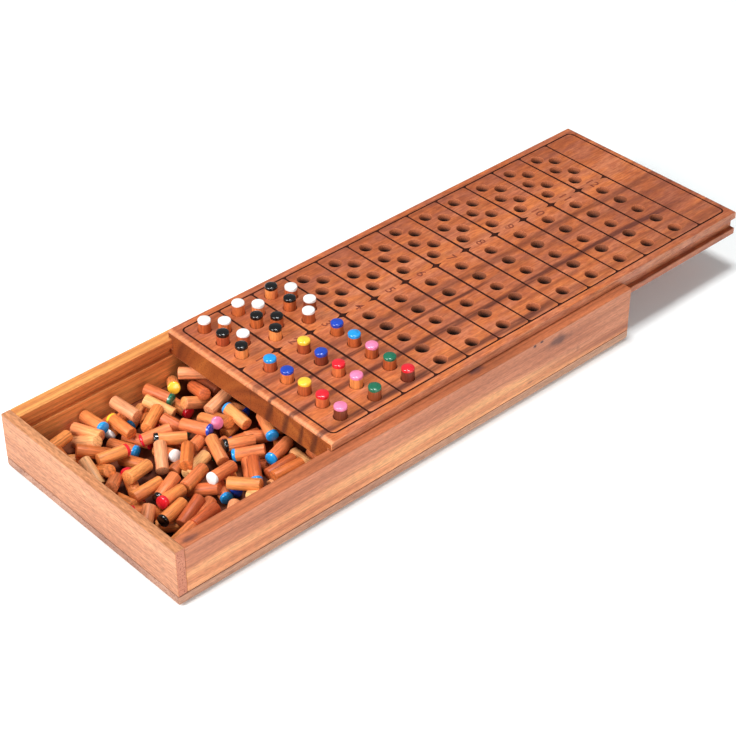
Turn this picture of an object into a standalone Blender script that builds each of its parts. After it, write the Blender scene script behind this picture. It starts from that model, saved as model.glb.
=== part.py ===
"""A wooden code-breaking peg game: a shallow tray, a sliding peg board and coloured pegs.

Lengths are metres and +Z is up. The origin is the middle of the tray's underside, +X runs
along the tray towards the end over which the board slides out, and +Y runs to the side with
the small key holes. The board is drawn a few rows open, and the loose pegs lie in the tray.
"""

import math

import bmesh
import bpy
import numpy as np
from mathutils import Matrix, Vector

# Pegs: short dowels, one end dipped in paint, and one drill size for all holes.
PEG_DIAMETER = 0.0075
PEG_LENGTH = 0.019
PEG_EDGE = 0.0006
PEG_SIDES = 10
FIT_GAP = 0.0003
HOLE_DEPTH = 0.011

# Field on the board's top: twelve rows, then a bare header panel.
ROW_COUNT = 12
ROW_PITCH = 0.025
HEADER_LENGTH = 0.0237
FIELD_WIDTH = 0.1304
NEAR_MARGIN = 0.0078
HEADER_MARGIN = 0.005
SIDE_MARGIN = 0.0053

# Places of a row's holes, as shares of the row pitch and of the field's width.
CODE_COLUMN_SHARE = 0.455
CODE_FIRST_SHARE = 0.068
CODE_STEP_SHARE = 0.1125
CODE_HOLES = 5
KEY_COLUMN_SHARES = (0.308, 0.633)
KEY_FIRST_SHARE = 0.674
KEY_STEP_SHARE = 0.0637
KEY_HOLES = 5

# Board edges: a flange above and one below the groove that the tray's ridge runs in.
UPPER_FLANGE = 0.0054
LOWER_FLANGE = 0.0043
FLANGE_REACH = 0.003

# Tray.
RIDGE_THICKNESS = 0.0062
LONG_WALL_THICKNESS = 0.0092
END_WALL_THICKNESS = 0.006
BASE_THICKNESS = 0.0075
BASE_EDGE_RADIUS = 0.0035
BASE_EDGE_STEPS = 3
PEG_SPACE_HEIGHT = 0.0194
OPEN_TRAVEL = 0.1045
CUT_OVERRUN = 0.002

# Sizes that follow from those above.
PEG_RADIUS = PEG_DIAMETER / 2
HOLE_RADIUS = PEG_RADIUS + FIT_GAP
GROOVE_HEIGHT = RIDGE_THICKNESS + 2 * FIT_GAP
BOARD_THICKNESS = UPPER_FLANGE + GROOVE_HEIGHT + LOWER_FLANGE
BOARD_LENGTH = NEAR_MARGIN + ROW_COUNT * ROW_PITCH + HEADER_LENGTH + HEADER_MARGIN
BOARD_WIDTH = FIELD_WIDTH + 2 * SIDE_MARGIN
CORE_WIDTH = BOARD_WIDTH - 2 * FLANGE_REACH
INNER_WIDTH = CORE_WIDTH + 2 * FIT_GAP
TRAY_WIDTH = INNER_WIDTH + 2 * LONG_WALL_THICKNESS
TRAY_LENGTH = END_WALL_THICKNESS + FIT_GAP + BOARD_LENGTH
TRAY_END = TRAY_LENGTH / 2
INNER_START = END_WALL_THICKNESS - TRAY_END
BOARD_START = INNER_START + FIT_GAP + OPEN_TRAVEL
FLOOR_Z = BASE_THICKNESS
BOARD_Z = FLOOR_Z + PEG_SPACE_HEIGHT + FIT_GAP
SLOT_Z = BOARD_Z - FIT_GAP
RIDGE_Z = BOARD_Z + LOWER_FLANGE + FIT_GAP
RIM_Z = RIDGE_Z + RIDGE_THICKNESS
BOARD_TOP_Z = BOARD_Z + BOARD_THICKNESS

# Paint and wood: colour, roughness.
PAINTS = {
    "light_blue": (0.03, 0.35, 0.78),
    "dark_blue": (0.02, 0.07, 0.42),
    "yellow": (0.93, 0.60, 0.05),
    "red": (0.76, 0.02, 0.03),
    "pink": (0.92, 0.33, 0.45),
    "green": (0.01, 0.16, 0.08),
    "white": (0.86, 0.86, 0.84),
    "black": (0.012, 0.012, 0.014),
}
WOODS = {
    "tray_wood": (0.60, 0.27, 0.12),
    "board_wood": (0.42, 0.15, 0.065),
    "peg_wood": (0.66, 0.33, 0.14),
}
PAINT_ROUGHNESS = 0.25
WOOD_ROUGHNESS = 0.6

# Pegs in play: each row's code pegs from the middle to the edge, then its key pegs likewise.
CODE_ROWS = (
    ("light_blue", "dark_blue", "yellow", "red", "pink"),
    ("yellow", "dark_blue", "red", "pink", "green"),
    ("dark_blue", "light_blue", "pink", "green", "red"),
)
KEY_ROWS = (
    ("black", "white", "black", "white", "white"),
    ("black", "black", "black", "white", "white"),
    ("white", "white", "black", "white", "black"),
)

# Loose pegs that lie on top of the heap by themselves: place along and across the open
# compartment as shares of it, heading of the painted end in degrees from +X, and paint.
LONE_PEGS = (
    (0.330, 0.930, 100, "pink"),
    (0.450, 0.930, 190, "dark_blue"),
    (0.785, 0.880, -72, "green"),
    (0.930, 0.955, -120, "yellow"),
    (0.515, 0.755, -65, "red"),
    (0.415, 0.755, -67, "light_blue"),
    (0.705, 0.685, -72, "green"),
    (0.385, 0.645, -66, "red"),
    (0.905, 0.570, 272, "pink"),
    (0.930, 0.360, 218, "yellow"),
    (0.945, 0.265, 188, "light_blue"),
    (0.235, 0.250, 194, "black"),
)

# The other pegs that show in the heap: place along and across, and heading, in the same way.
HEAP_PEGS = (
    (0.430, 0.865, 190), (0.860, 0.800, 185), (0.155, 0.545, 35), (0.600, 0.290, 185),
    (0.155, 0.840, 90), (0.225, 0.860, 92), (0.285, 0.870, 104), (0.560, 0.880, 90),
    (0.700, 0.940, 10), (0.720, 0.860, -69), (0.845, 0.930, -70), (0.975, 0.900, 139),
    (0.900, 0.870, -135), (0.910, 0.800, 27), (1.010, 0.790, 75), (0.790, 0.735, -30),
    (0.930, 0.725, 0), (0.870, 0.660, 5), (0.640, 0.655, -70), (0.615, 0.815, 40),
    (0.635, 0.765, 30), (0.155, 0.665, 88), (0.230, 0.675, -80), (0.275, 0.715, -70),
    (0.325, 0.735, -68), (0.470, 0.640, -100), (0.485, 0.555, 52), (0.585, 0.640, 65),
    (0.265, 0.590, 28), (0.290, 0.530, 20), (0.305, 0.472, 10), (0.165, 0.490, 62),
    (0.160, 0.405, -8), (0.320, 0.425, 185), (0.285, 0.345, 204), (0.435, 0.375, 22),
    (0.430, 0.318, 12), (0.450, 0.262, 20), (0.280, 0.215, 20), (0.300, 0.160, 15),
    (0.145, 0.172, 20), (0.155, 0.115, 15), (0.395, 0.130, 30), (0.500, 0.175, -62),
    (0.625, 0.245, 17), (0.630, 0.340, -14), (0.585, 0.405, 12), (0.510, 0.485, 55),
    (0.595, 0.495, 62), (0.685, 0.515, 242), (0.750, 0.475, 60), (0.775, 0.405, 230),
    (0.830, 0.360, 45), (0.750, 0.305, 30), (0.800, 0.260, 228), (1.030, 0.330, 200),
    (0.995, 0.175, 85), (0.885, 0.190, 0), (0.810, 0.165, 60), (0.900, 0.130, 0),
    (0.655, 0.155, 25), (0.725, 0.120, -50), (0.920, 0.465, 172), (0.835, 0.565, 88),
    (0.975, 0.550, 90), (0.130, 0.310, 40),
)
HEAP_REACH_SHARE = 1.12
GROUPS_ALONG = 3
GROUPS_ACROSS = 4
GROUP_FLOOR_PEGS = 3
GROUP_PEGS = 12
FILL_TRIES = 150
FILL_PICKS = 8
HEAP_SEED = 8

# Pegs of one group lie against each other, and each bites the one that carries it by this much.
BITE_LEAST = 0.00003
BITE_MOST = 0.0006

# How a loose peg finds its place, in shares of its length and in degrees.
DROP_TRIES = 120
DROP_PICKS = 2
WIDE_DROP_TRIES = 3000
DROP_STRAY_SHARE = 0.5
DROP_TURN_DEGREES = 24.0
DROP_TILT_DEGREES = 30.0
SETTLE_TRIES = 50
SETTLE_SHARE = 0.03
SETTLE_TURN_DEGREES = 5.0
SETTLE_FINEST_SHARE = 0.2
PUSH_SHARE = 0.06
PUSH_HALVINGS = 5
ANGLE_GRAIN_DEGREES = 0.1
PLACE_GRAIN_SHARE = 0.0001
RATIO_DIGITS = 9
SPHERE_DIRECTIONS = 28
TINY = 1e-9
SHARP_DEGREES = 40.0


def clear_scene():
    """Remove whatever the file holds."""
    for item in list(bpy.data.objects):
        bpy.data.objects.remove(item)


def collection(name):
    made = bpy.data.collections.new(name)
    bpy.context.scene.collection.children.link(made)
    return made


def material(name, colour, roughness):
    made = bpy.data.materials.new(name)
    made.use_nodes = True
    shader = made.node_tree.nodes["Principled BSDF"]
    shader.inputs["Base Color"].default_value = (*colour, 1.0)
    shader.inputs["Roughness"].default_value = roughness
    shader.inputs["Metallic"].default_value = 0.0
    made.diffuse_color = (*colour, 1.0)
    return made


def link_mesh(name, bm, group, location=(0.0, 0.0, 0.0), finish=None, parent=None):
    """Turn a bmesh into a named object in a collection."""
    mesh = bpy.data.meshes.new(name)
    bmesh.ops.recalc_face_normals(bm, faces=bm.faces)
    bm.to_mesh(mesh)
    bm.free()
    made = bpy.data.objects.new(name, mesh)
    group.objects.link(made)
    made.location = location
    if finish is not None:
        mesh.materials.append(finish)
    if parent is not None:
        made.parent = parent
    return made


def add_box(bm, low, high):
    """Add a box between two corners to a bmesh."""
    middle = (Vector(low) + Vector(high)) / 2
    size = Vector(high) - Vector(low)
    place = Matrix.Translation(middle) @ Matrix.Diagonal((*size, 1.0))
    return bmesh.ops.create_cube(bm, size=1.0, matrix=place)["verts"]


def box(name, low, high, group, finish):
    """A box as an object whose origin is the middle of its underside."""
    origin = Vector(((low[0] + high[0]) / 2, (low[1] + high[1]) / 2, low[2]))
    bm = bmesh.new()
    add_box(bm, Vector(low) - origin, Vector(high) - origin)
    return link_mesh(name, bm, group, origin, finish)


def cutter(name, bm, group):
    """A cutting shape in world coordinates, kept out of the render."""
    made = link_mesh(name, bm, group)
    made.hide_render = True
    made.display_type = "WIRE"
    return made


def cut(target, tool):
    """Cut one object with another."""
    modifier = target.modifiers.new("cut_" + tool.name, "BOOLEAN")
    modifier.operation = "DIFFERENCE"
    modifier.solver = "EXACT"
    modifier.object = tool


def add_peg(bm, place, edge):
    """Add a dowel along +Z from the place's origin, with its painted end's edge taken off."""
    bmesh.ops.create_cone(
        bm,
        cap_ends=True,
        segments=PEG_SIDES,
        radius1=PEG_RADIUS,
        radius2=PEG_RADIUS,
        depth=PEG_LENGTH,
        matrix=Matrix.Translation((0.0, 0.0, PEG_LENGTH / 2)),
    )
    if edge > 0:
        top = [item for item in bm.edges if all(vert.co.z > PEG_LENGTH / 2 for vert in item.verts)]
        bmesh.ops.bevel(bm, geom=top, offset=edge, segments=1, affect="EDGES")
    bmesh.ops.transform(bm, matrix=place, verts=bm.verts)


def shade_round(made):
    made.data.shade_smooth()
    made.data.set_sharp_from_angle(angle=math.radians(SHARP_DEGREES))


def make_tray(group, cutters, finish):
    """Base panel, two long walls with ridge and slot, a full end wall and a low one."""
    half_width = TRAY_WIDTH / 2
    half_inner = INNER_WIDTH / 2
    wall_z = FLOOR_Z + FIT_GAP
    base = box(
        "tray_base", (-TRAY_END, -half_width, 0.0), (TRAY_END, half_width, FLOOR_Z), group, finish
    )
    bm = bmesh.new()
    bm.from_mesh(base.data)
    under = [edge for edge in bm.edges if all(vert.co.z < FLOOR_Z / 2 for vert in edge.verts)]
    bmesh.ops.bevel(
        bm, geom=under, offset=BASE_EDGE_RADIUS, segments=BASE_EDGE_STEPS, profile=0.5, affect="EDGES"
    )
    bm.to_mesh(base.data)
    bm.free()

    box(
        "closed_end_wall", (-TRAY_END, -half_width, wall_z), (INNER_START, half_width, RIM_Z), group,
        finish,
    )
    box(
        "open_end_wall",
        (TRAY_END - END_WALL_THICKNESS, FIT_GAP - half_inner, wall_z),
        (TRAY_END, half_inner - FIT_GAP, SLOT_Z),
        group,
        finish,
    )
    for name, side in (("front_wall", -1), ("back_wall", 1)):
        sides = sorted((side * half_inner, side * half_width))
        wall = box(
            name, (INNER_START + FIT_GAP, sides[0], wall_z), (TRAY_END, sides[1], RIM_Z), group, finish
        )
        slot = sorted((side * (half_inner - CUT_OVERRUN), side * (BOARD_WIDTH / 2 + FIT_GAP)))
        bm = bmesh.new()
        add_box(
            bm,
            (INNER_START - CUT_OVERRUN, slot[0], SLOT_Z),
            (TRAY_END + CUT_OVERRUN, slot[1], RIDGE_Z),
        )
        cut(wall, cutter(name + "_slot_cutter", bm, cutters))


def code_hole(row, number):
    """Place of a code hole on the board, counted from the middle to the edge."""
    along = BOARD_START + NEAR_MARGIN + (row + CODE_COLUMN_SHARE) * ROW_PITCH
    share = CODE_FIRST_SHARE + (CODE_HOLES - 1 - number) * CODE_STEP_SHARE
    return along, (share - 0.5) * FIELD_WIDTH


def key_hole(row, number):
    """Place of a key hole on the board, counted from the middle to the edge, in a zigzag."""
    column = KEY_COLUMN_SHARES[number % len(KEY_COLUMN_SHARES)]
    along = BOARD_START + NEAR_MARGIN + (row + column) * ROW_PITCH
    share = KEY_FIRST_SHARE + number * KEY_STEP_SHARE
    return along, (share - 0.5) * FIELD_WIDTH


def make_board(group, cutters, finish):
    """The sliding board: a slab with a groove along each side and blind peg holes."""
    half = BOARD_WIDTH / 2
    board = box(
        "peg_board",
        (BOARD_START, -half, BOARD_Z),
        (BOARD_START + BOARD_LENGTH, half, BOARD_TOP_Z),
        group,
        finish,
    )
    bm = bmesh.new()
    for side in (-1, 1):
        reach = sorted((side * CORE_WIDTH / 2, side * (half + CUT_OVERRUN)))
        add_box(
            bm,
            (BOARD_START - CUT_OVERRUN, reach[0], BOARD_Z + LOWER_FLANGE),
            (BOARD_START + BOARD_LENGTH + CUT_OVERRUN, reach[1], BOARD_TOP_Z - UPPER_FLANGE),
        )
    cut(board, cutter("side_groove_cutter", bm, cutters))

    bm = bmesh.new()
    depth = HOLE_DEPTH + CUT_OVERRUN
    middle = BOARD_TOP_Z + CUT_OVERRUN - depth / 2
    holes = [code_hole(row, number) for row in range(ROW_COUNT) for number in range(CODE_HOLES)]
    holes += [key_hole(row, number) for row in range(ROW_COUNT) for number in range(KEY_HOLES)]
    for x, y in holes:
        bmesh.ops.create_cone(
            bm, cap_ends=True, segments=PEG_SIDES, radius1=HOLE_RADIUS, radius2=HOLE_RADIUS,
            depth=depth, matrix=Matrix.Translation((x, y, middle)),
        )
    cut(board, cutter("peg_hole_cutter", bm, cutters))
    return board


def make_placed_pegs(group, board, finishes):
    """The pegs in play, each standing in its hole and riding on the board."""
    seat_z = BOARD_TOP_Z - HOLE_DEPTH + FIT_GAP
    for kind, rows, place in (("code", CODE_ROWS, code_hole), ("key", KEY_ROWS, key_hole)):
        for row, paints in enumerate(rows):
            for number, paint in enumerate(paints):
                bm = bmesh.new()
                add_peg(bm, Matrix.Identity(4), PEG_EDGE)
                name = "%s_peg_row_%d_hole_%d" % (kind, row + 1, number + 1)
                seat = Vector((*place(row, number), seat_z)) - board.location
                peg = link_mesh(name, bm, group, seat, finishes[paint], board)
                shade_round(peg)


def sphere_directions():
    """Unit directions spread evenly over a half sphere."""
    golden = math.pi * (3 - math.sqrt(5))
    heights = (np.arange(SPHERE_DIRECTIONS) + 0.5) / SPHERE_DIRECTIONS
    turns = golden * np.arange(SPHERE_DIRECTIONS)
    flat = np.sqrt(1 - heights**2)
    return np.stack([flat * np.cos(turns), flat * np.sin(turns), heights], axis=1)


def axis_of(heading, tilt):
    """Unit axis of a peg from its heading and tilt in degrees."""
    turn, lift = math.radians(heading), math.radians(tilt)
    return np.array([math.cos(lift) * math.cos(turn), math.cos(lift) * math.sin(turn), math.sin(lift)])


def place_grain(middle):
    """Round a place in the heap, so that it stays the same wherever the script runs."""
    return np.round(np.asarray(middle) / PLACE_GRAIN_SHARE) * PLACE_GRAIN_SHARE


def angle_grain(angle):
    return round(angle / ANGLE_GRAIN_DEGREES) * ANGLE_GRAIN_DEGREES


def in_pegs(length):
    """A length as a multiple of the peg's length, the unit in which the heap is laid out."""
    return np.round(np.asarray(length) / PEG_LENGTH, RATIO_DIGITS)


class Heap:
    """Loose pegs in a box, in peg lengths from its corner. Each clears all but the one it lies on."""

    def __init__(self, size):
        self.size = in_pegs(size)
        self.radius = float(in_pegs(PEG_RADIUS))
        self.gap = float(in_pegs(FIT_GAP))
        flats = self.radius * (1 - math.cos(math.pi / PEG_SIDES))
        self.least_bite = 2 * (flats + float(in_pegs(BITE_LEAST)))
        self.most_bite = 2 * (flats + float(in_pegs(BITE_MOST)))
        self.middles = np.zeros((0, 3))
        self.axes = np.zeros((0, 3))
        self.groups = np.zeros(0, dtype=int)
        self.sphere = sphere_directions()
        self.draw = np.random.RandomState(HEAP_SEED)

    def reach(self, axes, directions):
        """How far a peg reaches from its middle along each direction."""
        along = np.abs(np.sum(axes * directions, axis=-1))
        return along / 2 + self.radius * np.sqrt(np.maximum(0.0, 1 - along**2))

    def gaps(self, apart, axis, others, ways):
        """Widest gap between a peg and each of some others, seen along the given ways."""
        span = np.abs(np.sum(apart[:, None] * ways, axis=2))
        return np.max(span - self.reach(axis, ways) - self.reach(others[:, None], ways), axis=1)

    def fits(self, middle, axis, group):
        """True where a peg lies in the box and clears all others but one of its own group."""
        extent = self.reach(axis, np.eye(3)) + self.gap
        if np.any(middle < extent) or np.any(middle + extent > self.size):
            return False
        apart = self.middles - middle
        near = np.sum(apart**2, axis=1) < (1 + 2 * self.radius) ** 2
        if not near.any():
            return True
        apart, others = apart[near], self.axes[near]
        across = apart - (apart @ axis)[:, None] * axis
        beside = apart - np.sum(apart * others, axis=1)[:, None] * others
        both = np.broadcast_to(axis, others.shape)
        own = np.stack([both, others, np.cross(axis, others), across, beside, apart], axis=1)
        own = own / np.maximum(np.linalg.norm(own, axis=2, keepdims=True), TINY)
        gaps = self.gaps(apart, axis, others, own)
        tight = gaps < self.gap
        if not tight.any():
            return True
        apart, others, gaps, hosts = apart[tight], others[tight], gaps[tight], self.groups[near][tight]
        gaps = np.maximum(gaps, self.gaps(apart, axis, others, self.sphere[None]))
        tight = gaps < self.gap
        return tight.sum() < 2 and bool(np.all((gaps >= -self.most_bite) & (hosts == group) | ~tight))

    def joined(self, middle, axis, group):
        """True where the cores of a peg and one of its group are so close that their sides bite."""
        mine = self.groups == group
        if group < 0 or not mine.any():
            return True
        half = 0.5 - self.radius
        apart, others = self.middles[mine] - middle, self.axes[mine]
        lean, along, their_along = others @ axis, apart @ axis, np.sum(apart * others, axis=1)
        own = np.clip((along - lean * their_along) / np.maximum(1 - lean**2, TINY), -half, half)
        theirs = np.clip(own * lean - their_along, -half, half)
        own = np.clip(along + lean * theirs, -half, half)
        theirs = np.clip(own * lean - their_along, -half, half)
        between = apart + theirs[:, None] * others - own[:, None] * axis
        return bool(np.linalg.norm(between, axis=1).min() <= 2 * self.radius - self.least_bite)

    def add(self, middle, axis, group):
        self.middles = np.vstack([self.middles, middle])
        self.axes = np.vstack([self.axes, axis])
        self.groups = np.append(self.groups, group)

    def pushed(self, middle, axis, way, group):
        """Furthest clear place from a clear start along a way, or None where the start is taken."""
        middle = place_grain(middle)
        if not self.fits(middle, axis, group):
            return None
        step = PUSH_SHARE
        while self.fits(place_grain(middle + step * way), axis, group):
            middle = place_grain(middle + step * way)
        for _ in range(PUSH_HALVINGS):
            step /= 2
            if self.fits(place_grain(middle + step * way), axis, group):
                middle = place_grain(middle + step * way)
        return middle

    def lowered(self, x, y, axis, group):
        """Lower a peg from above, then push it to its group where it hasn't met it."""
        top = self.size[2] - self.reach(axis, np.array((0.0, 0.0, 1.0))) - self.gap
        middle = self.pushed((x, y, top - PLACE_GRAIN_SHARE), axis, np.array((0.0, 0.0, -1.0)), group)
        if middle is None or self.joined(middle, axis, group):
            return middle
        mine = self.middles[self.groups == group]
        apart = mine[np.argmin(np.sum((mine - middle) ** 2, axis=1))] - middle
        middle = self.pushed(middle, axis, apart / np.linalg.norm(apart), group)
        return middle if self.joined(middle, axis, group) else None

    def settled(self, middle, heading, tilt, group):
        """Let a peg slip, turn and tilt down to where its neighbours hold it."""
        for attempt in range(SETTLE_TRIES):
            fine = max(SETTLE_FINEST_SHARE, 1 - attempt / SETTLE_TRIES)
            shift = self.draw.uniform(-1, 1, 3) * fine * SETTLE_SHARE
            shift[2] = -abs(shift[2])
            turn, lift = self.draw.uniform(-1, 1, 2) * fine * SETTLE_TURN_DEGREES
            turn, lift = angle_grain(heading + turn), angle_grain(tilt + lift)
            lower, axis = place_grain(middle + shift), axis_of(turn, lift)
            if self.fits(lower, axis, group) and self.joined(lower, axis, group):
                middle, heading, tilt = lower, turn, lift
        return middle, axis_of(heading, tilt)

    def drop(self, x, y, heading, group, tries=DROP_TRIES, stray=DROP_STRAY_SHARE):
        """Set a peg down close to a place, as low as a few tries find, and tell if it found room."""
        found = []
        for attempt in range(tries):
            wide = attempt / tries
            nudge = self.draw.uniform(-1, 1, 4) * wide
            turned = angle_grain(heading + nudge[2] * DROP_TURN_DEGREES)
            tilted = angle_grain(nudge[3] * DROP_TILT_DEGREES)
            shift = nudge[:2] * stray
            middle = self.lowered(x + shift[0], y + shift[1], axis_of(turned, tilted), group)
            if middle is not None:
                found.append((middle[2] + wide * self.radius, turned, tilted, middle))
            if len(found) == DROP_PICKS:
                break
        if not found:
            return False
        _, turned, tilted, middle = min(found, key=lambda item: item[0])
        self.add(*self.settled(middle, turned, tilted, group), group)
        return True


def make_heap():
    """Places of the loose pegs: a layer on the tray's floor, then the pegs on top of it."""
    open_length = BOARD_START - INNER_START
    heap = Heap((HEAP_REACH_SHARE * open_length, INNER_WIDTH, PEG_SPACE_HEIGHT))
    length = float(in_pegs(open_length))
    zone = heap.size[:2] / (GROUPS_ALONG, GROUPS_ACROSS)

    def fill(group, count):
        """Drop pegs anywhere in a group's zone until it has enough of them."""
        along, across = divmod(group, GROUPS_ACROSS)
        for _ in range(FILL_TRIES):
            if np.sum(heap.groups == group) >= count:
                break
            x, y = zone * ((along, across) + heap.draw.uniform(0, 1, 2))
            heap.drop(x, y, angle_grain(heap.draw.uniform(0, 360)), group, FILL_PICKS)

    for group in range(GROUPS_ALONG * GROUPS_ACROSS):
        fill(group, GROUP_FLOOR_PEGS)
    for number, (along, across, heading, _) in enumerate(LONE_PEGS):
        x, y = along * length, across * heap.size[1]
        if not heap.drop(x, y, heading, -1 - number):
            heap.drop(x, y, heading, -1 - number, WIDE_DROP_TRIES, max(heap.size))
    for along, across, heading in HEAP_PEGS:
        x, y = along * length, across * heap.size[1]
        zone_along, zone_across = (np.array((x, y)) / zone).astype(int)
        group = zone_along * GROUPS_ACROSS + zone_across
        if np.sum(heap.groups == group) < GROUP_PEGS:
            heap.drop(x, y, heading, group)
    for group in range(GROUPS_ALONG * GROUPS_ACROSS):
        fill(group, GROUP_PEGS)
    return heap


def make_loose_pegs(group, cutters, finishes):
    """The loose pegs: some by themselves, the others in groups whose pegs lie against each other."""
    heap = make_heap()
    corner = Vector((INNER_START, -INNER_WIDTH / 2, FLOOR_Z))
    counts = {}
    for number in sorted(set(heap.groups), key=lambda item: (item < 0, abs(item))):
        finish, name = "peg_wood", "loose_peg_group_%d" % (number + 1)
        if number < 0:
            finish = LONE_PEGS[-1 - number][3]
            counts[finish] = counts.get(finish, 0) + 1
            name = "loose_peg_%s_%d" % (finish, counts[finish])
        made = None
        for index in np.flatnonzero(heap.groups == number):
            bm = bmesh.new()
            turn = Vector(heap.axes[index]).to_track_quat("Z", "Y").to_matrix().to_4x4()
            add_peg(bm, turn @ Matrix.Translation((0.0, 0.0, -PEG_LENGTH / 2)), 0.0)
            middle = corner + Vector(heap.middles[index]) * PEG_LENGTH
            if made is None:
                made = link_mesh(name, bm, group, middle, finishes[finish])
            else:
                other = link_mesh("%s_joined_%d" % (name, index), bm, cutters, middle)
                other.hide_render = True
                other.display_type = "WIRE"
                modifier = made.modifiers.new("join", "BOOLEAN")
                modifier.operation = "UNION"
                modifier.solver = "EXACT"
                modifier.object = other
        shade_round(made)


def main():
    clear_scene()
    parts = collection("code_breaking_peg_game")
    cutters = collection("cutters")
    finishes = {name: material(name, colour, WOOD_ROUGHNESS) for name, colour in WOODS.items()}
    finishes.update({name: material(name, colour, PAINT_ROUGHNESS) for name, colour in PAINTS.items()})
    make_tray(parts, cutters, finishes["tray_wood"])
    board = make_board(parts, cutters, finishes["board_wood"])
    make_placed_pegs(parts, board, finishes)
    make_loose_pegs(parts, cutters, finishes)


main()
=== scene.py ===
"""Looks of a wooden code-breaking peg game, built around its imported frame.

Lengths are metres, in the frame's own coordinates. The board slides along +X; its code holes
are on the -Y side and its key holes on the +Y side.
"""
import math

import bmesh
import bpy
import numpy as np
from mathutils import Matrix, Vector


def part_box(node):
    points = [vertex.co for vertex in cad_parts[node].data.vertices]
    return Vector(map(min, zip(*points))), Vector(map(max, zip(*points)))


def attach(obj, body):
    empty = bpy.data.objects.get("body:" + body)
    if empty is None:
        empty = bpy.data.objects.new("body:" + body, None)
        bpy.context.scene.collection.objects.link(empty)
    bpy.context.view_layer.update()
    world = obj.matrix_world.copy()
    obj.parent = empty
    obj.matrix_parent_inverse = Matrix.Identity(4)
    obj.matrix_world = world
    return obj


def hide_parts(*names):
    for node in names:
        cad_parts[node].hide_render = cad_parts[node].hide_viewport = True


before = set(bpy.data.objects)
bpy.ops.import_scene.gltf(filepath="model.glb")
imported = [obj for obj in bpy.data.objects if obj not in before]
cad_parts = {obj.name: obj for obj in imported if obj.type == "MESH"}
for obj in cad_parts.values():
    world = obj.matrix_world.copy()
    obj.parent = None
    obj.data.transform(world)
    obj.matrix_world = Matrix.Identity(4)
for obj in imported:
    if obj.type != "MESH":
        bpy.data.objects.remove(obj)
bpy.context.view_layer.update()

# Sizes that the frame's solids share with these pieces.
PEG_DIAMETER = 0.0075
PEG_RADIUS = PEG_DIAMETER / 2
PEG_LENGTH = 0.019
PEG_SIDES = 10
FIT_GAP = 0.0003
HOLE_DEPTH = 0.011
HOLE_RADIUS = PEG_RADIUS + FIT_GAP
ROW_COUNT = 12
ROW_PITCH = 0.025
HEADER_LENGTH = 0.0237
FIELD_WIDTH = 0.1304
NEAR_MARGIN = 0.0078
CODE_COLUMN_SHARE = 0.455
CODE_FIRST_SHARE = 0.068
CODE_STEP_SHARE = 0.1125
CODE_HOLES = 5
KEY_COLUMN_SHARES = (0.308, 0.633)
KEY_FIRST_SHARE = 0.674
KEY_STEP_SHARE = 0.0637
KEY_HOLES = 5
UPPER_FLANGE = 0.0054
LOWER_FLANGE = 0.0043
FLANGE_REACH = 0.003
BASE_EDGE_RADIUS = 0.0035
PEG_SPACE_HEIGHT = 0.0194
OVERRUN = 0.002

# The frame's own places.
BASE_LOW, BASE_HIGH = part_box("tray_base")
BOARD_LOW, BOARD_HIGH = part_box("peg_board")
_, END_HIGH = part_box("closed_end_wall")
INNER_START = END_HIGH.x
BOARD_START = BOARD_LOW.x
FLOOR_Z = BASE_HIGH.z
TOP_Z = BOARD_HIGH.z
INNER_WIDTH = BOARD_HIGH.y - BOARD_LOW.y - 2 * FLANGE_REACH + 2 * FIT_GAP
FIELD_START = BOARD_START + NEAR_MARGIN

# Fine shapes.
RIM_Z = END_HIGH.z
EDGE_SOFTNESS = 0.0005
SEAM_CLOSING = 0.8 * FIT_GAP
BOARD_END_RADIUS = 0.0019
HOLE_SIDES = 28
HOLE_FLARE = 0.00035
PEG_FACETS = 24
PEG_TURNS = np.arange(PEG_FACETS) * 2 * math.pi / PEG_FACETS
PEG_EDGE = 0.0004
PEG_EDGE_BREAK = 0.3 * PEG_EDGE
LINE_WIDTH = 0.00118
LINE_DEPTH = 0.00025
LINE_RECESS = 0.00008
FRAME_CORNER = 0.0027
FRAME_REACH = 0.0022
CELL_CORNER = 0.0016
CORNER_STEPS = 6
STAR_Y = 0.0128
STAR_ARM = 0.0060
STAR_SPREAD = 0.0036
STAR_BEND = 0.58
STAR_STEPS = (1.0, 0.72, 0.5, 0.33, 0.2, 0.11, 0.05, 0.018)
DIGIT_HEIGHT = 0.0062
DIGIT_FONT_SHARE = 0.69
DIGIT_PROUD = 0.00004
DIGIT_WEIGHT = 0.0001
PAINT_DEPTH = 0.0027
PAINT_PROUD = 0.00006
PAINT_SHOULDER = 0.0009
PAINT_DOME = 0.0005
PAINT_WAVE = 0.00022
# Share of the paint's depth by which the dowel inside a cap ends below its top.
DOWEL_END_SHARE = 0.6
WELD = 1e-6
SHARP_ANGLE = math.radians(50)
OUTER_ANGLE = 0.5
# Least part of a face's normal along an axis: to face it, to lean to a plank's end or the
# board's side, and to be shaded flat.
FACING = 0.9
END_LEAN = 0.6
SIDE_LEAN = 0.5
FLAT = 0.999

# Features of wood and paint, as noise per metre: along the fibres, then across them twice.
WAVES = (5.0, 22.0, 22.0)
FINE_WAVES = (16.0, 90.0, 90.0)
FIBRES = (22.0, 850.0, 850.0)
PORES = (130.0, 3000.0, 3000.0)
CLOUDS = (9.0, 30.0, 30.0)
FLECKS = (240.0, 1000.0, 1000.0)
MOTTLES = (110.0, 330.0, 330.0)
BLUSHES = (45.0, 110.0, 110.0)
DRIFTS = (9.0, 14.0, 14.0)
PATCHES = (26.0, 420.0, 420.0)
SPECKS = (400.0, 1100.0, 1100.0)
TORN_FIBRES = (900.0, 2400.0, 1600.0)
CHARRED_FIBRES = (60.0, 900.0, 900.0)
PAINT_RUNS = (90.0, 420.0, 420.0)
# The same for the growth rings, across them only: broad figure and single lines.
RING_FIGURE = 75.0
RING_LINES = 620.0

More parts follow.
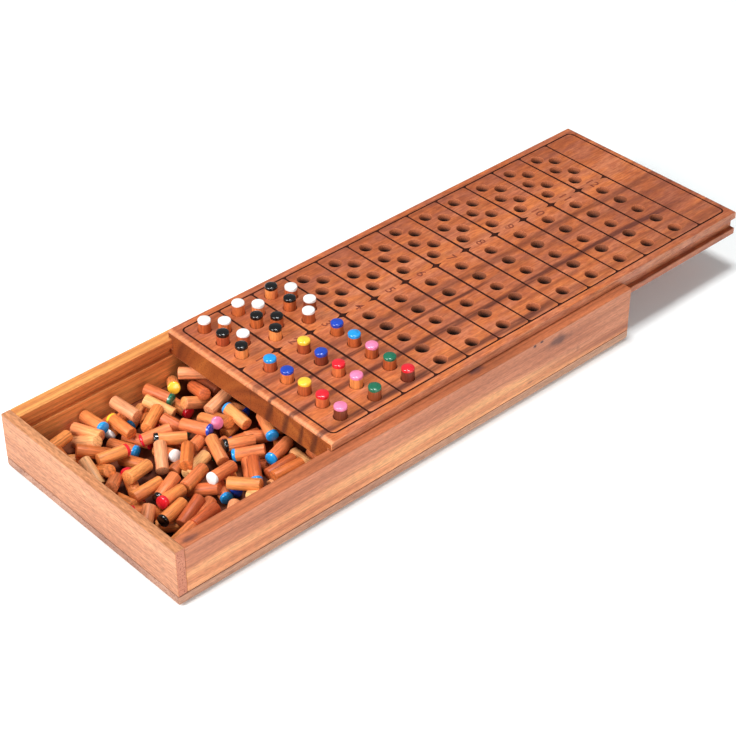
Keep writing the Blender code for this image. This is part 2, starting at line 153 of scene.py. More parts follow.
# Surfaces. Screen colours are given as three numbers from 0 to 255.
WHITE = (1.0, 1.0, 1.0, 1.0)
SHINE = "Specular IOR Level"
WOOD_SHINE = 0.3
PORE_DEPTH = 0.00012
FINE_DEPTH = 0.0001
RUN_DEPTH = 0.0002
# Reach and strength of the lighter band along the board's near end: worn wood and a painted
# highlight on the rounded edge.
WORN_HIGHLIGHT_REACH = 0.0032
WORN_HIGHLIGHT_SHARE = 0.6
STAVE_WIDTH = 0.0125

# Knots in the front wall: place in the plank, reach, and how dark.
FRONT_KNOTS = (
    ((0.1083, 0.0308, 0.0), (0.014, 0.0048, 0.004), 0.75),
    ((0.0888, 0.0363, 0.0), (0.0019, 0.0014, 0.002), 1.0),
    ((0.0945, 0.0366, 0.0), (0.0022, 0.0013, 0.002), 1.0),
    ((0.0458, 0.0380, -0.0060), (0.0085, 0.0026, 0.0046), 1.0),
    ((-0.1585, 0.0380, -0.0040), (0.0075, 0.0020, 0.0032), 0.65),
    ((0.1266, 0.0164, 0.0), (0.0022, 0.0030, 0.002), 0.3),
    ((0.0869, 0.0118, 0.0), (0.0060, 0.0008, 0.002), 0.5),
)

# Dark streaks along the board: place across it, half width, where they start and end, and how dark.
BOARD_STREAKS = (
    (-0.0056, 0.0040, -0.10, 0.36, 0.62),
    (-0.0183, 0.0020, -0.10, 0.17, 1.00),
    (-0.0180, 0.0036, 0.18, 0.36, 0.40),
    (-0.0366, 0.0031, -0.10, 0.31, 1.00),
    (-0.0380, 0.0044, 0.10, 0.36, 0.30),
    (-0.0484, 0.0018, 0.15, 0.36, 0.50),
    (-0.0603, 0.0033, -0.10, 0.18, 1.00),
    (-0.0598, 0.0048, 0.15, 0.36, 0.50),
    (0.0400, 0.0018, 0.05, 0.36, 0.25),
    (0.0182, 0.0022, -0.10, 0.20, 0.22),
)
STREAK_END = 0.02
STREAK_DRIFT = 0.0034
# Code holes that go through darker wood, by their place across the board.
DARK_HOLES = (-0.0123, -0.0417)

CODE_ROWS = (
    ("light_blue", "dark_blue", "yellow", "red", "pink"),
    ("yellow", "dark_blue", "red", "pink", "green"),
    ("dark_blue", "light_blue", "pink", "green", "red"),
)
KEY_ROWS = (
    ("black", "white", "black", "white", "white"),
    ("black", "black", "black", "white", "white"),
    ("white", "white", "black", "white", "black"),
)

# Loose pegs that lie by themselves: place along and across the open compartment as shares of
# it, heading of the painted end in degrees from +X, and paint. The frame holds the same pegs.
LONE_PEGS = (
    (0.330, 0.930, 100, "pink"),
    (0.450, 0.930, 190, "dark_blue"),
    (0.785, 0.880, -72, "green"),
    (0.930, 0.955, -120, "yellow"),
    (0.515, 0.755, -65, "red"),
    (0.415, 0.755, -67, "light_blue"),
    (0.705, 0.685, -72, "green"),
    (0.385, 0.645, -66, "red"),
    (0.905, 0.570, 272, "pink"),
    (0.930, 0.360, 218, "yellow"),
    (0.945, 0.265, 188, "light_blue"),
    (0.235, 0.250, 194, "black"),
)

# The other pegs that show in the heap, with their paint or, where they are bare, their wood.
HEAP_PEGS = (
    (0.430, 0.865, 190, "white"), (0.860, 0.800, 185, "yellow"), (0.155, 0.545, 35, "tan"),
    (0.600, 0.290, 185, "white"), (0.155, 0.840, 90, "tan"), (0.225, 0.860, 92, "pale"),
    (0.285, 0.870, 104, "pale"), (0.560, 0.880, 90, "tan"), (0.700, 0.940, 10, "brown"),
    (0.720, 0.860, -69, "pale"), (0.845, 0.930, -70, "pale"), (0.975, 0.900, 139, "red"),
    (0.900, 0.870, -135, "light_blue"), (0.910, 0.800, 27, "tan"), (1.010, 0.790, 75, "brown"),
    (0.790, 0.735, -30, "pale"), (0.930, 0.725, 0, "pale"), (0.870, 0.660, 5, "tan"),
    (0.640, 0.655, -70, "pale"), (0.615, 0.815, 40, "tan"), (0.635, 0.765, 30, "tan"),
    (0.155, 0.665, 88, "pale"), (0.230, 0.675, -80, "pale"), (0.275, 0.715, -70, "tan"),
    (0.325, 0.735, -68, "tan"), (0.470, 0.640, -100, "white"), (0.485, 0.555, 52, "pale"),
    (0.585, 0.640, 65, "pale"), (0.265, 0.590, 28, "tan"), (0.290, 0.530, 20, "tan"),
    (0.305, 0.472, 10, "tan"), (0.165, 0.490, 62, "brown"), (0.160, 0.405, -8, "pale"),
    (0.320, 0.425, 185, "black"), (0.285, 0.345, 204, "red"), (0.435, 0.375, 22, "tan"),
    (0.430, 0.318, 12, "brown"), (0.450, 0.262, 20, "tan"), (0.280, 0.215, 20, "brown"),
    (0.300, 0.160, 15, "brown"), (0.145, 0.172, 20, "tan"), (0.155, 0.115, 15, "pale"),
    (0.395, 0.130, 30, "pale"), (0.500, 0.175, -62, "pale"), (0.625, 0.245, 17, "pale"),
    (0.630, 0.340, -14, "brown"), (0.585, 0.405, 12, "pale"), (0.510, 0.485, 55, "tan"),
    (0.595, 0.495, 62, "pale"), (0.685, 0.515, 242, "red"), (0.750, 0.475, 60, "tan"),
    (0.775, 0.405, 230, "white"), (0.830, 0.360, 45, "tan"), (0.750, 0.305, 30, "tan"),
    (0.800, 0.260, 228, "light_blue"), (1.030, 0.330, 200, "green"), (0.995, 0.175, 85, "pale"),
    (0.885, 0.190, 0, "brown"), (0.810, 0.165, 60, "brown"), (0.900, 0.130, 0, "pale"),
    (0.655, 0.155, 25, "tan"), (0.725, 0.120, -50, "pale"), (0.920, 0.465, 172, "dark_blue"),
    (0.835, 0.565, 88, "pale"), (0.975, 0.550, 90, "light_blue"), (0.130, 0.310, 40, "tan"),
)
WOOD_TONES = {"pale": 0.14, "tan": 0.34, "brown": 0.76}
TONE_SPREAD = 0.1
PAINTED_TONE = 0.34
PAINTED_SHARE = 0.6
STANDING_TONE = 0.6
STANDING_SPREAD = 0.2
MORE_PAINTS = (
    "light_blue", "red", "black", "dark_blue", "yellow", "red", "light_blue", "green", "pink",
    "dark_blue", "red", "light_blue",
)
# How far apart in the tree the pegs were cut, and the most that one is turned about its axis.
CUT_SPREAD = (2.0, 0.02, 0.02)
ANY_TURN = 6
STANDING_SEED = 41
LOOSE_SEED = 7

# How the frame's heap was laid out, repeated so that these pegs lie in its solids.
HEAP_REACH_SHARE = 1.12
GROUPS_ALONG = 3
GROUPS_ACROSS = 4
GROUP_FLOOR_PEGS = 3
GROUP_PEGS = 12
FILL_TRIES = 150
FILL_PICKS = 8
HEAP_SEED = 8
BITE_LEAST = 0.00003
BITE_MOST = 0.0006
DROP_TRIES = 120
DROP_PICKS = 2
WIDE_DROP_TRIES = 3000
DROP_STRAY_SHARE = 0.5
DROP_TURN_DEGREES = 24.0
DROP_TILT_DEGREES = 30.0
SETTLE_TRIES = 50
SETTLE_SHARE = 0.03
SETTLE_TURN_DEGREES = 5.0
SETTLE_FINEST_SHARE = 0.2
PUSH_SHARE = 0.06
PUSH_HALVINGS = 5
ANGLE_GRAIN_DEGREES = 0.1
PLACE_GRAIN_SHARE = 0.0001
RATIO_DIGITS = 9
SPHERE_DIRECTIONS = 28
TINY = 1e-9
LOOSE_THINNING = 0.00008


def srgb(red, green, blue):
    """Scene colour of a screen colour given in 0 to 255."""
    made = []
    for value in (red, green, blue):
        value /= 255
        made.append(value / 12.92 if value <= 0.04045 else ((value + 0.055) / 1.055) ** 2.4)
    return (*made, 1.0)


PAINTS = {
    "light_blue": srgb(30, 150, 222),
    "dark_blue": srgb(26, 66, 176),
    "yellow": srgb(250, 196, 56),
    "red": srgb(222, 28, 44),
    "pink": srgb(240, 128, 170),
    "green": srgb(24, 104, 76),
    "white": srgb(246, 246, 244),
    "black": srgb(5, 5, 6),
}


def shown(name, data):
    """A new object in the scene."""
    made = bpy.data.objects.new(name, data)
    bpy.context.scene.collection.objects.link(made)
    return made


def applied(item):
    """Mesh of a curve, a text or an object with modifiers."""
    bpy.context.view_layer.update()
    seen = item.evaluated_get(bpy.context.evaluated_depsgraph_get())
    return bpy.data.meshes.new_from_object(seen)


class Shader:
    """Shorthand for a material's nodes.

    Grain is each point's place in the plank that its piece was cut from, in metres: along the
    fibres, then across them twice.
    """

    def __init__(self, name):
        self.material = bpy.data.materials.new(name)
        self.material.use_nodes = True
        self.nodes = self.material.node_tree.nodes
        self.links = self.material.node_tree.links
        self.surface = self.nodes["Principled BSDF"]
        self.grain = self.attribute("grain")

    def put(self, socket, value):
        """Link an output to a socket, or set a number, vector, scene or screen colour."""
        if isinstance(value, bpy.types.NodeSocket):
            self.links.new(value, socket)
        elif socket.type == "RGBA" and len(value) == 3:
            socket.default_value = srgb(*value)
        else:
            socket.default_value = value

    def node(self, kind, inputs, **settings):
        made = self.nodes.new("ShaderNode" + kind)
        for key, value in settings.items():
            setattr(made, key, value)
        for key, value in inputs.items():
            self.put(made.inputs[key], value)
        return made

    def math(self, operation, *values):
        return self.node("Math", dict(enumerate(values)), operation=operation).outputs[0]

    def product(self, value, *factors):
        for factor in factors:
            value = self.math("MULTIPLY", value, factor)
        return value

    def blend(self, first, second, share):
        """A share of the first value and the rest of the second."""
        return self.math("MULTIPLY_ADD", first, share, self.product(second, 1 - share))

    def apart(self, first, second):
        return self.math("ABSOLUTE", self.math("SUBTRACT", first, second))

    def vector(self, operation, first, second=(0.0, 0.0, 0.0)):
        return self.node("VectorMath", {0: first, 1: second}, operation=operation).outputs

    def attribute(self, name, output="Vector"):
        return self.node("Attribute", {}, attribute_name=name).outputs[output]

    def noise(self, place, scale=1.0, detail=2.0, rough=0.5, one=False):
        """Noise at a place or, where it has one dimension, at a number."""
        inputs = {"W" if one else "Vector": place, "Scale": scale, "Detail": detail}
        inputs["Roughness"] = rough
        return self.node("TexNoise", inputs, noise_dimensions="1D" if one else "3D").outputs[0]

    def grained(self, scale, detail=2.0, rough=0.5):
        """Noise of a feature that is stretched along the fibres."""
        place = self.vector("MULTIPLY", self.grain, scale)["Vector"]
        return self.noise(place, 1.0, detail, rough)

    def ramp(self, value, *stops):
        """Numbers or colours at places from 0 to 1."""
        made = self.node("ValToRGB", {0: value})
        steps = made.color_ramp.elements
        while len(steps) < len(stops):
            steps.new(0.5)
        for step, (place, colour) in zip(steps, stops):
            step.position = place
            step.color = srgb(*colour) if isinstance(colour, tuple) else (colour,) * 3 + (1.0,)
        return made.outputs[0]

    def tones(self, value, spread, *colours):
        """Colours at even steps from a spread below the middle value, a half, to one above it."""
        places = np.linspace(0.5 - spread, 0.5 + spread, len(colours))
        return self.ramp(value, *zip(places, colours))

    def mix(self, share, first, second, blend="MIX"):
        inputs = {0: share, 6: first, 7: second}
        return self.node("Mix", inputs, data_type="RGBA", blend_type=blend).outputs[2]

    def fade(self, value, start, end):
        """Rises smoothly from 0 to 1 where the value goes from start to end, up or down."""
        down = start > end
        inputs = {"Value": value, "From Min": min(start, end), "From Max": max(start, end)}
        inputs.update({"To Min": float(down), "To Max": float(not down)})
        return self.node("MapRange", inputs, interpolation_type="SMOOTHSTEP").outputs["Result"]

    def split(self, vector):
        return self.node("SeparateXYZ", {0: vector}).outputs

    def bump(self, height, strength, distance):
        made = self.node("Bump", {"Strength": strength, "Distance": distance, "Height": height})
        self.put(self.surface.inputs["Normal"], made.outputs[0])

    def finish(self, colour, roughness, others=None):
        inputs = {"Base Color": colour, "Roughness": roughness, **(others or {})}
        for key, value in inputs.items():
            self.put(self.surface.inputs[key], value)
        return self.material


# Camera, light and floor.
def make_camera():
    data = bpy.data.cameras.new("camera")
    data.sensor_width = 36.0
    data.lens = 97.236
    data.shift_x = 0.02045
    data.shift_y = -0.00304
    camera = shown("camera", data)
    camera.location = (-0.59791, -0.68895, 0.70762)
    camera.rotation_euler = [math.radians(angle) for angle in (53.2039, 0.5142, -42.1949)]
    bpy.context.scene.camera = camera


def make_light(name, place, aim, size, power):
    data = bpy.data.lights.new(name, "AREA")
    data.shape = "DISK"
    data.size = size
    data.energy = power
    light = shown(name, data)
    light.location = place
    light.rotation_euler = (Vector(aim) - Vector(place)).to_track_quat("-Z", "Y").to_euler()


def make_studio():
    """A white room with a light above, one at the left and one in front."""
    bpy.context.scene.view_settings.view_transform = "Standard"
    world = bpy.data.worlds.new("studio")
    world.use_nodes = True
    background = world.node_tree.nodes["Background"]
    background.inputs["Color"].default_value = WHITE
    background.inputs["Strength"].default_value = 0.22
    bpy.context.scene.world = world
    make_light("overhead", (0.02, 0.0, 1.7), (0.05, 0.0, 0.0), 0.4, 20.0)
    make_light("left_panel", (-1.1, 0.1, 0.75), (0.0, 0.0, 0.02), 0.7, 18.0)
    make_light("front_fill", (-0.45, -1.15, 0.5), (0.0, 0.0, 0.02), 0.9, 7.0)

    bm = bmesh.new()
    bmesh.ops.create_grid(bm, x_segments=2, y_segments=2, size=4.0)
    mesh = bpy.data.meshes.new("floor")
    bm.to_mesh(mesh)
    bm.free()
    floor = shown("floor", mesh)
    floor.location.z = BASE_LOW.z
    glow = {SHINE: 0.1, "Emission Color": WHITE, "Emission Strength": 0.06}
    mesh.materials.append(Shader("floor_white").finish((0.9, 0.94, 0.945, 1.0), 0.9, glow))


def wood_layers(shader, heart, wander):
    """Broad figure, growth lines, fibres, pores and clouds of solid wood, each from 0 to 1.

    Heart is where the tree's middle lies, across the fibres, from the piece's own middle, and
    wander is how far the rings wave.
    """
    _, *across = shader.split(shader.grain)
    squares = [
        shader.math("POWER", shader.math("SUBTRACT", place, middle), 2.0)
        for place, middle in zip(across, heart)
    ]
    ring = shader.math("SQRT", shader.math("ADD", *squares))
    for scale, reach in ((WAVES, wander), (FINE_WAVES, wander / 5)):
        ring = shader.math("MULTIPLY_ADD", shader.grained(scale), reach, ring)
    return (
        shader.noise(ring, RING_FIGURE, 2.0, 0.6, one=True),
        shader.noise(ring, RING_LINES, 1.5, 0.6, one=True),
        shader.grained(FIBRES, 3.0, 0.6),
        shader.ramp(shader.grained(PORES, 1.0), (0.60, 0.0), (0.72, 1.0)),
        shader.grained(CLOUDS),
    )


def dressed(shader, colour, layers, deep, line=0.2, hair=0.12, fleck=0.1, sheen=0.46):
    """Growth lines, fibres, flecks and pores over a plank's own colours, felt as well as seen.

    Deep is the pores' colour, sheen the middle roughness, and the other three are strengths.
    """
    _, lines, fibres, pores, _ = layers
    for layer, change, *stops in (
        (lines, line, (0.42, 0.0), (0.66, 1.0)),
        (fibres, 2 * hair, (0.3, -0.5), (0.7, 0.5)),
        (shader.grained(FLECKS, 1.0), fleck, (0.35, -0.4), (0.68, 1.0)),
    ):
        tint = shader.ramp(layer, *((place, 1.0 - share * change) for place, share in stops))
        colour = shader.mix(1.0, colour, tint, "MULTIPLY")
    colour = shader.mix(shader.product(pores, 0.4), colour, deep)
    height = shader.math("SUBTRACT", shader.product(fibres, 0.5), pores)
    shader.bump(height, 0.25, PORE_DEPTH)
    rough = shader.math("MULTIPLY_ADD", fibres, 0.16, sheen - 0.08)
    return shader.finish(colour, rough, {SHINE: WOOD_SHINE})


def knot(shader, colour, place, reach, dark, strength):
    """Darkens the wood round a place in the plank, where a branch has grown in."""
    offset = shader.vector("SUBTRACT", shader.grain, place)["Vector"]
    offset = shader.vector("MULTIPLY", offset, [1 / size for size in reach])["Vector"]
    away = shader.math("SUBTRACT", shader.vector("LENGTH", offset)["Value"], 0.6)
    wobble = shader.noise(shader.grain, 1.6 / max(reach), 3.0)
    away = shader.math("MULTIPLY_ADD", wobble, 1.2, away)
    return shader.mix(shader.product(shader.fade(away, 1.0, 0.2), strength), colour, dark)


def plank(name, heart, tones, deep, rim, line=0.2, hair=0.12, fleck=0.1):
    """A plain tray plank: light, middle and dark tones in its figure, and a tinted rim."""
    shader = Shader(name)
    layers = wood_layers(shader, heart, 0.006)
    colour = shader.tones(shader.blend(layers[4], layers[0], 0.4), 0.12, *tones)
    _, height, _ = shader.split(shader.grain)
    worn = shader.fade(height, RIM_Z - 2 * EDGE_SOFTNESS, RIM_Z - EDGE_SOFTNESS / 2)
    colour = shader.mix(worn, colour, shader.mix(1.0, colour, rim, "MULTIPLY"))
    return dressed(shader, colour, layers, deep, line, hair, fleck)


def front_plank():
    """The front wall: orange sapwood below, a browner band above, a dark rim and knots."""
    shader = Shader("front_wall_wood")
    layers = wood_layers(shader, (0.05, 0.03), 0.006)
    figure, _, _, _, cloud = layers
    along, height, _ = shader.split(shader.grain)
    tone = shader.blend(cloud, figure, 0.4)
    low = shader.tones(tone, 0.12, (238, 171, 117), (223, 146, 98), (192, 113, 75))
    high = shader.tones(tone, 0.12, (215, 141, 105), (193, 119, 85), (155, 89, 65))
    level = shader.math("MULTIPLY_ADD", figure, 0.012, height)
    level = shader.math("MULTIPLY_ADD", shader.fade(along, 0.02, 0.17), 0.012, level)
    colour = shader.mix(shader.fade(level, 0.023, 0.032), low, high)
    rim = shader.tones(tone, 0.08, (186, 107, 69), (120, 65, 42))
    colour = shader.mix(shader.fade(height, 0.0371, 0.0377), colour, rim)
    for place, reach, strength in FRONT_KNOTS:
        colour = knot(shader, colour, place, reach, (88, 54, 52), strength)
    return dressed(shader, colour, layers, (96, 52, 36), 0.16, 0.12, 0.15)


def board_plank(name, warm, rose, streaked):
    """The board's wood: evenly mottled orange and rose, with dark streaks by the code holes."""
    shader = Shader(name)
    layers = wood_layers(shader, (-0.02, -0.16), 0.005)
    figure, _, _, _, cloud = layers
    along, across, _ = shader.split(shader.grain)
    tone = shader.blend(shader.grained(MOTTLES, 3.0, 0.6), figure, 0.6)
    warm, rose = (shader.tones(tone, 0.16, *colours) for colours in (warm, rose))
    colour = shader.mix(shader.fade(shader.grained(BLUSHES, 3.0), 0.38, 0.64), warm, rose)
    # A lighter band at the near end: the worn edge and a painted highlight where the rounded edge
    # catches the light.
    worn = shader.product(shader.fade(along, WORN_HIGHLIGHT_REACH, WORN_HIGHLIGHT_REACH / 4), WORN_HIGHLIGHT_SHARE)
    colour = shader.mix(worn, colour, (232, 152, 104))
    drift = shader.math("SUBTRACT", shader.grained(DRIFTS, 3.0), 0.5)
    place = shader.math("MULTIPLY_ADD", drift, STREAK_DRIFT * 2, across)
    patchy = shader.fade(shader.grained(PATCHES, 3.0, 0.6), 0.14, 0.54)
    for middle, half, first, last, strength in BOARD_STREAKS:
        seen = shader.product(
            shader.fade(shader.apart(place, middle), half, half / 4),
            patchy,
            shader.fade(along, first - STREAK_END, first + STREAK_END),
            shader.fade(along, last + STREAK_END, last - STREAK_END),
            strength * streaked,
        )
        colour = shader.mix(seen, colour, (80, 37, 30))
    shade = shader.product(
        shader.fade(along, 0.22, 0.31), shader.fade(across, 0.01, -0.03),
        shader.fade(cloud, 0.36, 0.56), 0.4 * streaked,
    )
    colour = shader.mix(shade, colour, (118, 64, 56))
    return dressed(shader, colour, layers, (70, 32, 20), 0.14, 0.16, 0.14, 0.42)


def end_grain(name, seam_share, *tones):
    """A plank's cut end: specks instead of fibres and, on the board, seams between its staves."""
    shader = Shader(name)
    figure, _, _, _, cloud = wood_layers(shader, (-0.02, -0.05), 0.003)
    _, across, depth = shader.split(shader.grain)
    colour = shader.tones(shader.blend(cloud, figure, 0.5), 0.14, *tones)
    lean = shader.math("MULTIPLY_ADD", depth, 0.18, across)
    lean = shader.math("MULTIPLY_ADD", shader.noise(across, 50.0, 1.0, one=True), 0.03, lean)
    stave = shader.math("FRACT", shader.product(lean, 1 / STAVE_WIDTH))
    seam = shader.product(
        shader.fade(shader.apart(stave, 0.5), 0.17, 0.0),
        shader.fade(across, 0.004, -0.012),
        seam_share,
    )
    colour = shader.mix(seam, colour, (72, 36, 26))
    speck = shader.grained(SPECKS)
    dark = shader.mix(1.0, colour, (190, 160, 150), "MULTIPLY")
    colour = shader.mix(shader.fade(speck, 0.5, 0.72), colour, dark)
    shader.bump(speck, 0.3, FINE_DEPTH)
    return shader.finish(colour, 0.55, {SHINE: WOOD_SHINE})


def drilled():
    """Hole walls: rough end grain, with painted shade that darkens them further down the hole."""
    shader = Shader("drilled_wood_painted_shade")
    _, across, depth = shader.split(shader.grain)
    rough = shader.grained(TORN_FIBRES)
    shallow = shader.tones(rough, 0.15, (182, 100, 58), (150, 78, 46))
    # The deep tones are painted shade: the walls and floor of each hole turn near black further
    # down.
    deep = shader.tones(rough, 0.15, (58, 26, 13), (34, 14, 8))
    colour = shader.mix(shader.fade(depth, -0.0007, -0.0052), shallow, deep)
    # Code holes through darker wood take a share of the same near-black tones.
    for middle in DARK_HOLES:
        near = shader.fade(shader.apart(across, middle), 0.006, 0.005)
        colour = shader.mix(shader.product(near, 0.36), colour, deep)
    shader.bump(rough, 0.2, FINE_DEPTH)
    return shader.finish(colour, 0.75)


def peg_wood():
    """Turned hardwood; each peg brings its own tone and its own place in the tree."""
    shader = Shader("peg_wood")
    layers = wood_layers(shader, (0.004, 0.018), 0.002)
    tone = shader.attribute("tone", "Fac")
    tone = shader.math("ADD", tone, shader.math("MULTIPLY_ADD", layers[0], 0.36, -0.18))
    colour = shader.ramp(
        tone,
        (0.0, (250, 190, 124)),
        (0.22, (240, 152, 84)),
        (0.45, (224, 124, 62)),
        (0.7, (186, 90, 44)),
        (1.0, (98, 44, 28)),
    )
    blush = shader.mix(1.0, colour, (240, 222, 246), "MULTIPLY")
    colour = shader.mix(shader.fade(layers[4], 0.44, 0.56), colour, blush)
    return dressed(shader, colour, layers, (84, 42, 24), 0.24, 0.22, 0.16, 0.44)


def burnt(name, clumps, share, dark, light, relief, rough, shine):
    """Burnt wood: its fibres, by a share, and clumps of so many per metre."""
    shader = Shader(name)
    fibres = shader.grained(CHARRED_FIBRES)
    tone = shader.blend(fibres, shader.noise(shader.grain, clumps), share)
    shader.bump(fibres, relief, FINE_DEPTH)
    return shader.finish(shader.tones(tone, 0.15, dark, light), rough, {SHINE: shine})


def paint(name, colour):
    """Dipped enamel: a shade deeper and rougher in places, with a few small runs."""
    shader = Shader("paint_" + name)
    cloud = shader.noise(shader.grain, 320.0)
    deep = tuple(0.78 * value for value in colour[:3]) + (1.0,)
    shade = shader.mix(shader.ramp(cloud, (0.42, 0.0), (0.68, 0.8)), colour, deep)
    shader.bump(shader.grained(PAINT_RUNS, 1.0), 0.1, RUN_DEPTH)
    rough = shader.math("MULTIPLY_ADD", cloud, 0.12, 0.12)
    return shader.finish(shade, rough, {SHINE: 0.3, "Coat Weight": 1.0, "Coat Roughness": 0.2})


def make_finishes():
    finishes = {
        "base": plank(
            "tray_base_wood", (0.02, 0.09), ((210, 163, 134), (196, 146, 117), (170, 119, 95)),
            (96, 58, 42), (255, 255, 255), 0.24, 0.14, 0.2,
        ),
        # The tray's floor, the base's top face, gets dark brown tones: painted shade for the deep
        # gaps between the loose pegs.
        "painted_shade_floor": plank(
            "painted_shade_floor_wood", (0.02, 0.09), ((134, 72, 42), (112, 56, 32), (86, 40, 24)),
            (50, 24, 16), (255, 255, 255),
        ),
        # The base's ends: darker end grain, and also painted shade on the rounding that turns under
        # the base.
        "base_end": end_grain(
            "tray_base_end_wood", 0.0, (180, 138, 116), (164, 120, 98), (140, 100, 82)
        ),
        "front": front_plank(),
        "back": plank(
            "back_wall_wood", (0.06, -0.04), ((250, 170, 102), (238, 148, 82), (200, 108, 58)),
            (96, 54, 34), (236, 255, 255),
        ),
        "end": plank(
            "end_wall_wood", (0.08, -0.05), ((202, 141, 102), (188, 125, 88), (164, 102, 69)),
            (128, 76, 50), (248, 246, 236), 0.14, 0.12, 0.3,
        ),
        "end_grain": end_grain(
            "end_wall_end_grain", 0.0, (204, 134, 104), (192, 120, 92), (170, 100, 76)
        ),
        "board": board_plank(
            "board_wood", ((206, 118, 66), (183, 98, 56), (156, 80, 46)),
            ((202, 122, 84), (178, 100, 68), (152, 82, 58)), 0.85,
        ),
        "board_side": board_plank(
            "board_side_wood", ((206, 132, 92), (188, 112, 76), (154, 86, 56)),
            ((204, 132, 98), (184, 110, 80), (146, 84, 58)), 0.3,
        ),
        "board_end": end_grain(
            "board_end_wood", 0.75, (174, 99, 45), (150, 77, 34), (116, 56, 27)
        ),
        "drilled": drilled(),
        "peg": peg_wood(),
        "burnt": burnt(
            "burnt_lines", 350.0, 0.5, (30, 9, 3), (60, 22, 10), 0.4, 0.75, 0.15
        ),
        "scorched": burnt(
            "scorched_numbers", 500.0, 0.4, (98, 40, 20), (144, 66, 36), 0.3, 0.65, 0.5
        ),
    }
    for name, colour in PAINTS.items():
        finishes[name] = paint(name, colour)
    return finishes


def link(name, mesh, body, replaced=(), finish=None):
    """Put a mesh into the scene as a piece that rides on a body."""
    made = shown(name, mesh)
    if finish is not None:
        mesh.materials.clear()
        mesh.materials.append(finish)
    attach(made, body)
    if replaced:
        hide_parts(*replaced)


def clad(mesh, finishes, keys, pick):
    """Give a mesh the finishes of some keys; pick tells which of them a face gets."""
    mesh.materials.clear()
    for key in keys:
        mesh.materials.append(finishes[key])
    for face in mesh.polygons:
        face.material_index = int(pick(face))


def lay_grain(mesh, along, across, middle, shift=(0.0, 0.0, 0.0)):
    """Give each point its place in the plank that the piece was cut from.

    Along and across are the directions of the plank's fibres and its width, and middle is the
    point of the piece that lies at the shift in the plank.
    """
    along, across = Vector(along), Vector(across)
    turn = np.array((along, across, along.cross(across)))
    places = np.zeros(len(mesh.vertices) * 3, np.float32)
    mesh.vertices.foreach_get("co", places)
    places = (places.reshape(-1, 3) - np.array(middle)) @ turn.T + np.array(shift)
    layer = mesh.attributes.new("grain", "FLOAT_VECTOR", "POINT")
    layer.data.foreach_set("vector", places.astype(np.float32).ravel())


def add_block(bm, low, high):
    middle = (Vector(low) + Vector(high)) / 2
    place = Matrix.Translation(middle) @ Matrix.Diagonal((*(Vector(high) - Vector(low)), 1.0))
    bmesh.ops.create_cube(bm, size=1.0, matrix=place)


def bar(outline, first, last):
    """A beam between two places along X, with an outline of (y, z) points."""
    bm = bmesh.new()
    face = bm.faces.new([bm.verts.new((first, y, z)) for y, z in outline])
    grown = bmesh.ops.extrude_face_region(bm, geom=[face])["geom"]
    moved = [item for item in grown if isinstance(item, bmesh.types.BMVert)]
    bmesh.ops.translate(bm, verts=moved, vec=(last - first, 0.0, 0.0))
    bmesh.ops.recalc_face_normals(bm, faces=bm.faces)
    return bm


def to_mesh(name, bm):
    mesh = bpy.data.meshes.new(name)
    bmesh.ops.recalc_face_normals(bm, faces=bm.faces)
    bm.to_mesh(mesh)
    bm.free()
    return mesh


def soften(bm, edges, width, steps=3):
    bmesh.ops.bevel(
        bm, geom=edges, offset=width, segments=steps, profile=0.5, affect="EDGES",
        clamp_overlap=True,
    )


def outer_edges(bm):
    """Edges where the solid turns outwards."""
    return [
        item for item in bm.edges
        if item.is_manifold and item.calc_face_angle_signed() > OUTER_ANGLE
    ]


